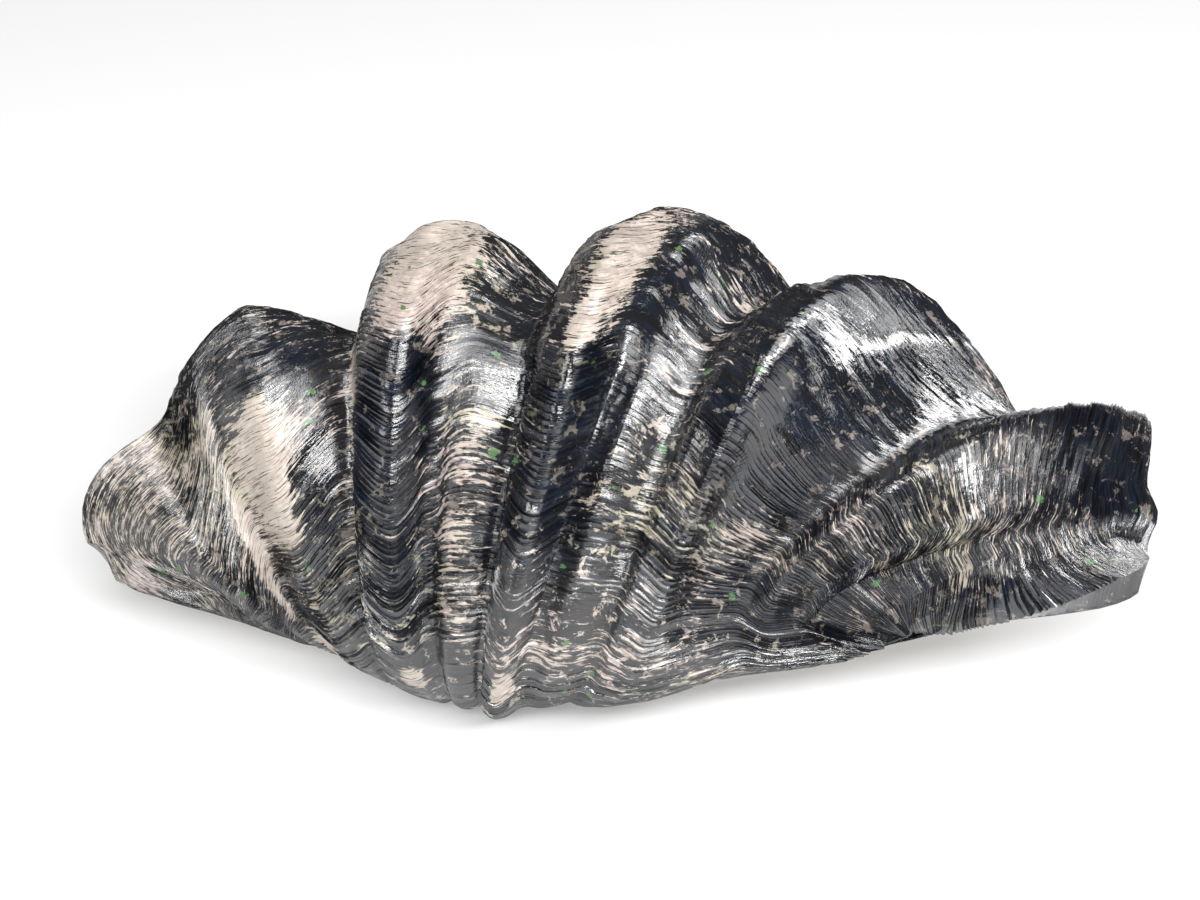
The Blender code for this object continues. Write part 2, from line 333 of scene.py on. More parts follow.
# Each light: its name, the setting with its power, its width and height, and its place in metres
LIGHTS = (
    ("studio_key", "key_power", (1.6, 0.7), (0.05, -0.35, 1.5)),
    ("studio_front", "front_power", (2.4, 0.35), (0.35, -1.4, 1.5)),
    ("studio_left", "left_power", (0.35, 1.0), (-1.3, -0.5, 0.9)),
    ("studio_right", "right_power", (0.5, 1.0), (1.3, -0.7, 1.2)),
)
LIGHT_TARGET = (0.0, 0.0, 0.05)


def smooth_step(value):
    held = np.clip(value, 0.0, 1.0)
    return held * held * (3.0 - 2.0 * held)


def unit(vectors):
    length = np.linalg.norm(vectors, axis=-1, keepdims=True)
    return vectors / np.maximum(length, 1e-9)


def growth_frame():
    """The growth axis and the two directions across it, leaned to the way that the valve rests."""
    axis = unit(np.array(AXIS))
    back = unit(np.array((0.0, 1.0, 0.0)) - axis[1] * axis)
    up = np.cross(axis, back)
    cos = math.cos(LEAN)
    sin = math.sin(LEAN)
    lean = np.array(((1.0, 0.0, 0.0), (0.0, cos, -sin), (0.0, sin, cos)))
    return lean @ axis, lean @ back, lean @ up


def growth_point(along, out, turn):
    """A logarithmic spiral about the axis: both distances shrink by e for each GROWTH_TURN of turn.

    Past the crown the valve stops spreading sideways, so along is held while out still grows.
    """
    axis, back, up = growth_frame()
    held = SPREAD_STOPS + SPREAD_BLEND * np.log1p(np.exp((turn - SPREAD_STOPS) / SPREAD_BLEND))
    length = along * np.exp(-(held - SECTION_ANGLE) / GROWTH_TURN)
    radius = out * np.exp(-(turn - SECTION_ANGLE) / GROWTH_TURN)
    across = np.cos(turn)[..., None] * back + np.sin(turn)[..., None] * up
    return length[..., None] * axis + radius[..., None] * across - np.array(CENTRE)


def smooth_run(position, knots, values):
    """A cubic through the values: a slope is its neighbours' harmonic mean, and 0 at a crest or groove."""
    spans = np.diff(knots)
    slopes = np.diff(values) / spans
    tangents = np.zeros(len(values))
    before = 2.0 * spans[1:] + spans[:-1]
    after = spans[1:] + 2.0 * spans[:-1]
    rising = slopes[:-1] * slopes[1:] > 0.0
    mean = before[rising] / slopes[:-1][rising] + after[rising] / slopes[1:][rising]
    tangents[1:-1][rising] = (before + after)[rising] / mean
    tangents[0] = slopes[0]
    tangents[-1] = slopes[-1]
    cell = np.clip(np.searchsorted(knots, position, side="right") - 1, 0, len(knots) - 2)
    span = spans[cell]
    t = (position - knots[cell]) / span
    start = (2.0 * t**3 - 3.0 * t**2 + 1.0) * values[cell]
    start = start + (t**3 - 2.0 * t**2 + t) * tangents[cell] * span
    end = (3.0 * t**2 - 2.0 * t**3) * values[cell + 1]
    end = end + (t**3 - t**2) * tangents[cell + 1] * span
    return start + end


def through_stations(top, front, low, turn):
    """A cubic from the top station's value through the front one to the low one, held beyond them."""
    held = np.clip(turn, TOP_TURN, LOW_TURN)
    slope = (low - top) / (LOW_TURN - TOP_TURN)
    first = FRONT_TURN - TOP_TURN
    second = LOW_TURN - FRONT_TURN
    t = (held - TOP_TURN) / first
    upper = (2.0 * t**3 - 3.0 * t**2 + 1.0) * top + (3.0 * t**2 - 2.0 * t**3) * front
    upper = upper + (t**3 - t**2) * slope * first
    t = (held - FRONT_TURN) / second
    lower = (2.0 * t**3 - 3.0 * t**2 + 1.0) * front + (3.0 * t**2 - 2.0 * t**3) * low
    lower = lower + (t**3 - 2.0 * t**2 + t) * slope * second
    return np.where(held < FRONT_TURN, upper, lower)


def fold_table():
    """The folds in metres and radians, and each fold's place along the rim, a held step from the last."""
    table = np.array([row[1:] for row in FOLDS], dtype=float)
    sections = table[:, :6] / 1000.0
    rim = np.radians(table[:, 6])
    phase = np.radians(table[:, 7])
    points = growth_point(sections[:, 0], sections[:, 1], rim)
    steps = np.linalg.norm(np.diff(points, axis=0), axis=1)
    knots = np.concatenate(((0.0,), np.cumsum(np.clip(steps, *FOLD_STEPS))))
    return sections, rim, phase, knots


SECTIONS, RIM, PHASE, KNOTS = fold_table()


def edge_run(edge, turn):
    """Along and out of a hinge edge at each turn."""
    table = np.array(edge, dtype=float)
    knots = np.radians(table[:, 0])
    held = np.clip(turn, knots[0], knots[-1])
    along = smooth_run(held, knots, table[:, 1] / 1000.0)
    out = smooth_run(held, knots, table[:, 2] / 1000.0)
    return along, out


def gathered(along, out, share, edge, rib, turn):
    """Towards the hinge an outer fold runs between the edge and the nearest full rib, at its share."""
    edge_along, edge_out = edge_run(edge, turn)
    rib_along = through_stations(rib[0], rib[2], rib[4], turn)
    rib_out = through_stations(rib[1], rib[3], rib[5], turn)
    step = smooth_step((turn - GATHER_START) / (GATHER_END - GATHER_START))
    weight = 1.0 - (1.0 - step) * np.clip(share / EDGE_SHARE, 0.0, 1.0)
    weight = np.where(share < 1.0, weight, 0.0)
    along = along + weight * (edge_along + (rib_along - edge_along) * share - along)
    out = out + weight * (edge_out + (rib_out - edge_out) * share - out)
    return along, out


def section(fold, turn):
    """Along and out, carried to the section angle, at each fold number and turn."""
    position = np.interp(fold, FOLD_NUMBERS, KNOTS)
    left = np.ones(len(FOLDS))
    left[: len(LEFT_SHARES)] = LEFT_SHARES
    right = np.ones(len(FOLDS))
    right[-len(RIGHT_SHARES) :] = RIGHT_SHARES
    value = [smooth_run(position, KNOTS, SECTIONS[:, index]) for index in range(6)]
    along = through_stations(value[0], value[2], value[4], turn)
    out = through_stations(value[1], value[3], value[5], turn)
    left_share = np.interp(position, KNOTS, left)
    right_share = np.interp(position, KNOTS, right)
    along, out = gathered(along, out, left_share, LEFT_EDGE, SECTIONS[len(LEFT_SHARES)], turn)
    return gathered(along, out, right_share, RIGHT_EDGE, SECTIONS[-len(RIGHT_SHARES) - 1], turn)


def surface(fold, turn):
    """The smooth outer surface, as a function of fold number and turn."""
    return growth_point(*section(fold, turn), turn)


def rim_on_floor():
    """The rim's turn at fine steps of fold number, cut short where the rim would reach below the floor."""
    fold = np.linspace(0.0, LAST_FOLD, RIM_SAMPLES)
    turns = smooth_run(np.interp(fold, FOLD_NUMBERS, KNOTS), KNOTS, RIM)
    low = turns.copy()
    high = turns + RIM_REACH
    sunk = surface(fold, low)[..., 2] < 0.0
    for _ in range(RIM_HALVINGS):
        middle = 0.5 * (low + high)
        below = surface(fold, middle)[..., 2] < 0.0
        low = np.where(below, middle, low)
        high = np.where(below, high, middle)
    return fold, np.where(sunk, high, turns)


RIM_FOLDS, RIM_TURNS = rim_on_floor()


def rim_turn(fold):
    """The rim's turn at each fold number."""
    return np.interp(fold, RIM_FOLDS, RIM_TURNS)


def line_turn(fold, stage):
    """The turn at which the growth line of a stage crosses a fold.

    It leaves the rim's own turn, settles to the fold's phase plus the stage, and ends at the hinge lip.
    """
    rim = rim_turn(fold)
    phase = smooth_run(np.interp(fold, FOLD_NUMBERS, KNOTS), KNOTS, PHASE)
    turn = rim + stage + (phase - rim - PHASE_GAP) * smooth_step(stage / SETTLE_STAGE)
    share = np.clip((stage - LATE_STAGE) / (STAGE_END - LATE_STAGE), 0.0, 1.0)
    late = 0.5 * (share + smooth_step(share))
    return turn + (HINGE_TURN - phase - STAGE_END + PHASE_GAP) * late


def value_noise(x, y, seed):
    """Smoothly blended random values on a square lattice, between -1 and 1."""
    lattice = np.random.default_rng(seed).uniform(-1.0, 1.0, (LATTICE, LATTICE))
    column = np.floor(x).astype(int)
    row = np.floor(y).astype(int)
    s = smooth_step(x - column)
    t = smooth_step(y - row)
    left = column % LATTICE
    right = (column + 1) % LATTICE
    this_row = row % LATTICE
    next_row = (row + 1) % LATTICE
    lower = lattice[this_row, left] * (1.0 - s) + lattice[this_row, right] * s
    upper = lattice[next_row, left] * (1.0 - s) + lattice[next_row, right] * s
    return lower * (1.0 - t) + upper * t


def layered_noise(x, y, seed):
    """Value noise summed over layers, each half the height and twice the rate of the last, and shifted."""
    total = np.zeros(np.broadcast(x, y).shape)
    for layer in range(NOISE_LAYERS):
        rate = 2.0**layer
        noise = value_noise(x * rate + 17.3 * layer, y * rate + 5.1 * layer, seed + layer)
        total = total + noise / rate
    return total / (2.0 - 0.5 ** (NOISE_LAYERS - 1))


def patches(table, fold, turn):
    """A sum of soft round patches over fold number and turn, one for each row of the table."""
    total = np.zeros(fold.shape)
    degrees = np.degrees(turn)
    for centre, angle, width, reach, strength in table:
        distance = ((fold - centre) / width) ** 2 + ((degrees - angle) / reach) ** 2
        total = total + strength * np.exp(-distance)
    return np.clip(total, -1.0, 1.5)


def creased(fold, turn):
    """Extra relief in metres: a sum of bell curves over fold number, each within its own range of turn."""
    total = np.zeros(fold.shape)
    degrees = np.degrees(turn)
    for centre, width, height, start, end in CREASES:
        begun = smooth_step((degrees - start) / CREASE_RUN)
        held = smooth_step((end + CREASE_RUN - degrees) / CREASE_RUN)
        bell = np.exp(-(((fold - centre) / width) ** 2))
        total = total + height / 1000.0 * (begun * held) * bell
    return total


def growth_rows(spacing):
    """The stage, kind and height of each mesh row: kind 1 on a ledge's lip, -1 at its foot, 0 at the ends.

    Lips lie at uneven steps of growth length, and a foot lies just rimward of each.
    """
    random = np.random.default_rng(SEED)
    end = math.exp(-STAGE_END / GROWTH_TURN)
    count = int(round(GROWTH_LENGTH * (1.0 - end) / spacing))
    steps = random.uniform(*LINE_STEPS, count + 1)
    marks = np.cumsum(steps) / steps.sum()
    lips = marks[:-1]
    feet = lips - FOOT_SHARE * steps[:-1] / steps.sum()
    shares = np.empty(2 * count + 2)
    shares[0] = 0.0
    shares[1:-1:2] = feet
    shares[2:-1:2] = lips
    shares[-1] = 1.0
    kinds = np.zeros(2 * count + 2)
    kinds[1:-1:2] = -1.0
    kinds[2:-1:2] = 1.0
    stages = -GROWTH_TURN * np.log(1.0 - (1.0 - end) * shares)
    heights = np.zeros(2 * count + 2)
    line = random.uniform(*LINE_HEIGHTS, count)
    line = line + STRONG_EXTRA * (random.random(count) > 1.0 - STRONG_SHARE)
    heights[1:-1:2] = line
    heights[2:-1:2] = line
    return stages, kinds, heights


def left_end_path(stage):
    """Fold number and turn along each growth line round the left end, from the hinge lip to rib 2's keel.

    A line runs from the hinge along one fold number, turns a rounded corner and crosses to the keel.
    """
    q = np.linspace(1.0, -1.0, PATH_SAMPLES)[None, :]
    stage = stage[:, None]
    corner = KEEL_FOLD * (stage / STAGE_END) ** CORNER_POWER
    soft = CORNER_SOFTNESS * np.sqrt(stage / STAGE_END)
    root = np.sqrt(q * q + soft * soft)
    tail = 0.5 * (np.sqrt(1.0 + soft * soft) - 1.0)
    across = 0.5 * (root - q) - tail
    upward = 0.5 * (root + q) - tail
    fold = corner + (KEEL_FOLD - corner) * across
    corner_turn = line_turn(corner, stage)
    turn = line_turn(fold, stage + 0.0 * fold) + (HINGE_TURN - corner_turn) * upward
    turn = np.minimum(turn, HINGE_TURN)
    points = surface(fold, turn)
    steps = np.linalg.norm(np.diff(points, axis=1), axis=-1) + 1e-7
    lengths = np.concatenate((np.zeros((len(fold), 1)), np.cumsum(steps, axis=1)), axis=1)
    wanted = np.linspace(0.0, 1.0, LEFT_COLUMNS + 1)
    folds = np.empty((len(fold), LEFT_COLUMNS + 1))
    turns = np.empty_like(folds)
    for row in range(len(fold)):
        share = lengths[row] / lengths[row, -1]
        folds[row] = np.interp(wanted, share, fold[row])
        turns[row] = np.interp(wanted, share, turn[row])
    return folds, turns


def grid_normals(points):
    """Unit outward normals of a grid of points, from the cross product of its central differences."""
    return unit(np.cross(np.gradient(points, axis=0), np.gradient(points, axis=1)))


def dented(dent, across, growth, size, seed):
    """Noise of a dent's depth over its size across and along the growth, smaller where the shell is."""
    depth, wide, long = dent
    return depth * layered_noise(across / wide, growth / long, seed) * size


def outer_grid(settings):
    """The outer surface on rows along the growth lines, with creases, ledges and dents as real relief."""
    stages, kinds, heights = growth_rows(settings.line_spacing)
    left_folds, left_turns = left_end_path(stages)
    keel = np.interp(KEEL_FOLD, FOLD_NUMBERS, KNOTS)
    right = np.interp(np.linspace(keel, KNOTS[-1], RIB_COLUMNS + 1), KNOTS, FOLD_NUMBERS)
    right_folds = np.broadcast_to(right, (len(stages), RIB_COLUMNS + 1))
    right_turns = line_turn(right_folds, stages[:, None] + 0.0 * right_folds)
    fold = np.concatenate((left_folds, right_folds[:, 1:]), axis=1)
    turn = np.concatenate((left_turns, right_turns[:, 1:]), axis=1)

    points = surface(fold, turn)
    steps = np.linalg.norm(np.diff(points, axis=1), axis=-1)
    across = np.concatenate((np.zeros((len(stages), 1)), np.cumsum(steps, axis=1)), axis=1)
    middle = LEFT_COLUMNS + RIB_COLUMNS // 3
    across = across - across[:, middle : middle + 1]
    growth = GROWTH_LENGTH * np.exp(-stages / GROWTH_TURN)[:, None] + 0.0 * across

    lines = np.arange(len(stages))[:, None] * 0.5
    spacing = np.gradient(stages)[:, None]
    hold = np.clip(lines / END_LINES, 0.0, 1.0) * np.clip((lines[-1] - lines) / END_LINES, 0.0, 1.0)
    strays = layered_noise(across / WOBBLE_ACROSS, lines / WOBBLE_LINES + 0.0 * across, SEED + 11)
    wobble = WOBBLE_HEIGHT * strays
    turn = np.minimum(turn + settings.line_wobble * wobble * spacing * hold, HINGE_TURN)
    points = surface(fold, turn)

    size = np.clip(np.exp(-(turn - SECTION_ANGLE) / GROWTH_TURN), 0.0, 1.0)
    points = points + grid_normals(points) * (creased(fold, turn) * size * hold)[..., None]
    normal = grid_normals(points)
    gap = np.linalg.norm(np.gradient(points, axis=0), axis=-1)
    uneven = layered_noise(across / LEDGE_ACROSS, growth / LEDGE_GROWTH, SEED + 23)
    patchy = np.clip(LEDGE_MEAN + LEDGE_SPREAD * uneven, *LEDGE_RANGE)
    worn = patches(WORN_PATCHES, fold, turn)
    dull = patches(DULL_PATCHES, fold, turn)
    patchy = patchy * (1.0 - WORN_LOSS * np.clip(worn - WORN_FROM, 0.0, 1.0))
    patchy = patchy * (1.0 - DULL_LOSS * np.clip(dull, 0.0, 1.0))
    ledge = settings.ledge_height * heights[:, None] * patchy * np.sqrt(size)
    ledge = np.minimum(ledge, GAP_SHARE * gap)
    relief = np.where(kinds[:, None] > 0.0, ledge, -FOOT_DEPTH * ledge)
    dents = dented(DENT, across, growth, size, SEED + 31)
    dents = dents + dented(FINE_DENT, across, growth, size, SEED + 37)
    edge = np.clip(gap / CLOSE_ROWS, 0.0, 1.0) * hold
    points = points + normal * (relief + dents * edge)[..., None]
    points[..., 2] = np.maximum(points[..., 2], 0.0)
    return points, fold, turn, across, growth, relief


def softened(values, width):
    """Gaussian smoothing along the columns, with the ends carried on in a straight line."""
    reach = SMOOTH_REACH
    before = 2.0 * values[:, :1] - values[:, reach:0:-1]
    after = 2.0 * values[:, -1:] - values[:, -2 : -reach - 2 : -1]
    padded = np.concatenate((before, values, after), axis=1)
    offsets = np.arange(-reach, reach + 1)
    result = np.zeros_like(values)
    for row in range(values.shape[0]):
        weights = np.exp(-0.5 * (offsets / width[row]) ** 2)
        weights /= weights.sum()
        result[row] = np.convolve(padded[row], weights, mode="valid")
    return result


def inner_grid():
    """The smooth inside: the folds fade towards the beak and the wall is taken off inwards."""
    columns = np.interp(np.linspace(0.0, KNOTS[-1], INNER_COLUMNS + 1), KNOTS, FOLD_NUMBERS)
    rim = rim_turn(columns)
    share = np.linspace(0.0, 1.0, INNER_ROWS + 1)[:, None]
    turn = rim + (HINGE_TURN - rim) * share
    fold = columns + 0.0 * turn
    along, out = section(fold, turn)
    deep = np.clip(share[:, 0] * SMOOTH_RATE, 0.0, 1.0)
    width = (SMOOTH_RIM + (SMOOTH_DEEP - SMOOTH_RIM) * deep) * INNER_COLUMNS / SMOOTH_GRID
    along = softened(along, width)
    out = softened(out, width)
    slope_along = np.gradient(along, axis=1)
    slope_out = np.gradient(out, axis=1)
    length = np.maximum(np.hypot(slope_along, slope_out), 1e-6)
    wall = WALL_RIM + (WALL_CROWN - WALL_RIM) * np.sin(math.pi * share)
    wall = wall + (WALL_HINGE - WALL_RIM) * share
    size = np.exp(-(turn - SECTION_ANGLE) / GROWTH_TURN)
    depth = np.minimum(wall / size, THIN_EDGE * out)
    inner_along = along + slope_out / length * depth
    inner_out = out - slope_along / length * depth
    points = growth_point(inner_along, inner_out, turn)
    points[0, :, 2] = np.maximum(points[0, :, 2], 0.0)
    points[1:, :, 2] = np.maximum(points[1:, :, 2], INSIDE_CLEARANCE)
    return points, fold, turn


def grid_faces(indices):
    """Quads of a grid of vertex numbers."""
    corners = (indices[:-1, :-1], indices[:-1, 1:], indices[1:, 1:], indices[1:, :-1])
    return np.stack(corners, axis=-1).reshape(-1, 4)


def zip_faces(first, first_place, second, second_place):
    """Triangles between two runs of vertex numbers: the run that is behind in place steps next."""
    places = np.concatenate((first_place[1:], second_place[1:]))
    from_first = np.concatenate((np.ones(len(first) - 1), np.zeros(len(second) - 1)))
    order = np.argsort(places, kind="stable")
    from_first = from_first[order] > 0.5
    i = np.cumsum(from_first) - from_first
    j = np.cumsum(~from_first) - ~from_first
    next_first = first[np.minimum(i + 1, len(first) - 1)]
    next_second = second[np.minimum(j + 1, len(second) - 1)]
    third = np.where(from_first, next_first, next_second)
    return np.stack((first[i], third, second[j]), axis=-1)


def closing_band(outer, outer_place, inner, inner_place, bulge):
    """The rounded edge between two runs: rows of half an ellipse from outer to inner, with its bulge."""
    columns = [np.interp(outer_place, inner_place, inner[:, axis]) for axis in range(3)]
    target = np.stack(columns, axis=-1)
    angle = np.linspace(0.0, math.pi, EDGE_ROWS + 2)[1:-1, None, None]
    share = 0.5 * (1.0 - np.cos(angle))
    points = outer + (target - outer) * share + bulge * np.sin(angle)
    points[..., 2] = np.maximum(points[..., 2], 0.0)
    return points


def edge_place(fold, turn):
    """A place along the commissure: -1 to 0 up the left edge from the hinge, then the fold number."""
    up_edge = -(turn - RIM[0]) / (HINGE_TURN - RIM[0])
    return np.maximum.accumulate(np.where(fold < 1e-4, up_edge, fold))


def triangles(quads):
    """Two triangles for each quad, without those that have no area because a corner repeats."""
    both = np.concatenate((quads[:, (0, 1, 2)], quads[:, (0, 2, 3)]))
    good = (both[:, 0] != both[:, 1]) & (both[:, 1] != both[:, 2]) & (both[:, 2] != both[:, 0])
    return both[good]


def valve_arrays(settings):
    """Vertices, triangles, map and values of the closed valve: two sheets and the edges that join them."""
    outer, fold, turn, across, growth, relief = outer_grid(settings)
    inner, inner_fold, inner_turn = inner_grid()
    rows, columns = fold.shape
    pole = LEFT_COLUMNS
    outer_index = np.arange(rows * columns).reshape(rows, columns)
    outer_index[-1, :pole] = outer_index[-1, pole]
    inner_index = rows * columns + np.arange(inner_fold.size).reshape(inner_fold.shape)
    flat = np.concatenate((outer.reshape(-1, 3), inner.reshape(-1, 3)))
    faces = [triangles(grid_faces(outer_index)[:, ::-1]), triangles(grid_faces(inner_index))]

    inner_growth = GROWTH_LENGTH * np.exp(-(inner_turn - inner_turn[0]) / GROWTH_TURN)
    inner_across = np.interp(inner_fold, FOLD_NUMBERS, KNOTS)
    growth_map = np.concatenate(
        (
            np.stack((across, growth), axis=-1).reshape(-1, 2),
            np.stack((inner_across, inner_growth), axis=-1).reshape(-1, 2),
        )
    )
    inner_row, inner_column = np.indices(inner_fold.shape)
    from_edge = np.minimum(inner_row, np.minimum(inner_column, INNER_COLUMNS - inner_column))
    inside = np.concatenate((np.zeros(fold.size), np.clip(from_edge.reshape(-1) / 2.0, 0.0, 1.0)))
    worn = np.concatenate((patches(WORN_PATCHES, fold, turn).reshape(-1), np.zeros(inner_fold.size)))
    dull = np.concatenate((patches(DULL_PATCHES, fold, turn).reshape(-1), np.zeros(inner_fold.size)))
    height = np.concatenate(((relief / settings.ledge_height).reshape(-1), np.zeros(inner_fold.size)))

    left_place = edge_place(inner_fold[::-1, 0], inner_turn[::-1, 0])
    lip_run = np.concatenate((outer_index[:, 0], outer_index[-1, pole + 1 :]))
    lip_place = np.concatenate((fold[:, 0], fold[-1, pole + 1 :]))
    inner_run = np.concatenate((inner_index[::-1, 0], inner_index[0, 1:]))
    inner_place = np.concatenate((left_place, inner_fold[0, 1:]))
    size = np.exp(-np.maximum(turn[0] - SECTION_ANGLE, 0.0) / GROWTH_TURN)[:, None]
    rim_bulge = unit(outer[0] - outer[3]) * size * settings.rim_bulge
    runs = (
        (outer_index[0], edge_place(fold[0], turn[0]), inner_run, inner_place, rim_bulge, False),
        (outer_index[:, -1], turn[:, -1], inner_index[:, -1], inner_turn[:, -1], 0.0, False),
        (lip_run, lip_place, inner_index[-1], inner_fold[-1], 0.0, True),
    )
    for run, place, other, other_place, bulge, turned in runs:
        band = closing_band(flat[run], place, flat[other], other_place, bulge)
        band_index = len(flat) + np.arange(band.shape[0] * band.shape[1]).reshape(band.shape[:2])
        band_index[:, 0] = run[0]
        band_index[:, -1] = run[-1]
        flat = np.concatenate((flat, band.reshape(-1, 3)))
        growth_map = np.concatenate((growth_map, np.tile(growth_map[run], (EDGE_ROWS, 1))))
        inwards = np.linspace(0.0, EDGE_INSIDE, EDGE_ROWS)
        inside = np.concatenate((inside, np.repeat(inwards, len(run))))
        worn = np.concatenate((worn, np.full(EDGE_ROWS * len(run), EDGE_WORN)))
        dull = np.concatenate((dull, np.full(EDGE_ROWS * len(run), EDGE_DULL)))
        height = np.concatenate((height, np.zeros(EDGE_ROWS * len(run))))
        strip = triangles(grid_faces(np.concatenate((run[None], band_index))))
        seam = zip_faces(band_index[-1], place, other, other_place)
        faces.append(strip[:, ::-1] if turned else strip)
        faces.append(seam[:, ::-1] if turned else seam)
    faces = np.concatenate(faces)
    used, numbers = np.unique(faces, return_inverse=True)
    values = {"inside": inside[used], "worn": worn[used], "dull": dull[used], "relief": height[used]}
    return flat[used], numbers.reshape(-1, 3), growth_map[used], values


def mesh_object(name, points, faces, growth_map, values, material):
    """A shaded mesh object from arrays, with one UV map and one attribute for each named value."""
    mesh = bpy.data.meshes.new(name)
    mesh.from_pydata(points, [], faces.tolist())
    layer = mesh.uv_layers.new(name="growth")
    layer.data.foreach_set("uv", growth_map[faces.reshape(-1)].astype(np.float32).reshape(-1))
    for key, value in values.items():
        attribute = mesh.attributes.new(key, "FLOAT", "POINT")
        attribute.data.foreach_set("value", value.astype(np.float32))
    mesh.materials.append(material)
    mesh.shade_smooth()
    mesh.set_sharp_from_angle(angle=LEDGE_ANGLE)
    mesh.update()
    piece = bpy.data.objects.new(name, mesh)
    bpy.context.scene.collection.objects.link(piece)
    return piece


class Nodes:
    """A small helper that adds shader nodes and joins their sockets."""

    def __init__(self, material):
        material.use_nodes = True
        self.tree = material.node_tree
        self.shader = self.tree.nodes["Principled BSDF"]

    def add(self, kind, inputs=None, **options):
        node = self.tree.nodes.new(kind)
        for key, value in options.items():
            setattr(node, key, value)
        for key, value in (inputs or {}).items():
            self.put(value, node.inputs[key])
        return node

    def put(self, value, socket):
        if isinstance(value, bpy.types.NodeSocket):
            self.tree.links.new(value, socket)
        elif isinstance(value, bpy.types.Node):
            self.tree.links.new(value.outputs[0], socket)
        else:
            socket.default_value = value

    def math(self, operation, first, second, third=0.0, clamp=False):
        inputs = {0: first, 1: second, 2: third}
        node = self.add("ShaderNodeMath", inputs, operation=operation, use_clamp=clamp)
        return node.outputs[0]

    def weighted(self, *terms):
        """The sum of values, each times its share."""
        total = self.math("MULTIPLY", *terms[0])
        for value, share in terms[1:]:
            total = self.math("MULTIPLY_ADD", value, share, total)
        return total

    def step(self, value, low, high):
        """0 below low, 1 above high, smooth between."""
        inputs = {0: value, 1: low, 2: high}
        node = self.add("ShaderNodeMapRange", inputs, interpolation_type="SMOOTHSTEP")
        return node.outputs[0]

    def noise(self, vector, scale, detail, roughness, distortion=0.0):
        inputs = {
            "Vector": vector,
            "Scale": scale,
            "Detail": detail,
            "Roughness": roughness,
            "Distortion": distortion,
        }
        return self.add("ShaderNodeTexNoise", inputs).outputs[0]

    def streaks(self, vector, scale, detail, roughness, distortion=0.0):
        """Noise drawn out to its own number of cells per metre each way."""
        scaled = self.add("ShaderNodeVectorMath", {0: vector, 1: scale}, operation="MULTIPLY")
        return self.noise(scaled.outputs[0], 1.0, detail, roughness, distortion)

    def mix(self, factor, first, second):
        node = self.add("ShaderNodeMix", {0: factor}, data_type="RGBA")
        self.put(first, node.inputs[6])
        self.put(second, node.inputs[7])
        return node.outputs[2]

    def value(self, name):
        return self.add("ShaderNodeAttribute", attribute_name=name).outputs["Fac"]


def colour(socket_value):
    return (*tuple(socket_value), 1.0)


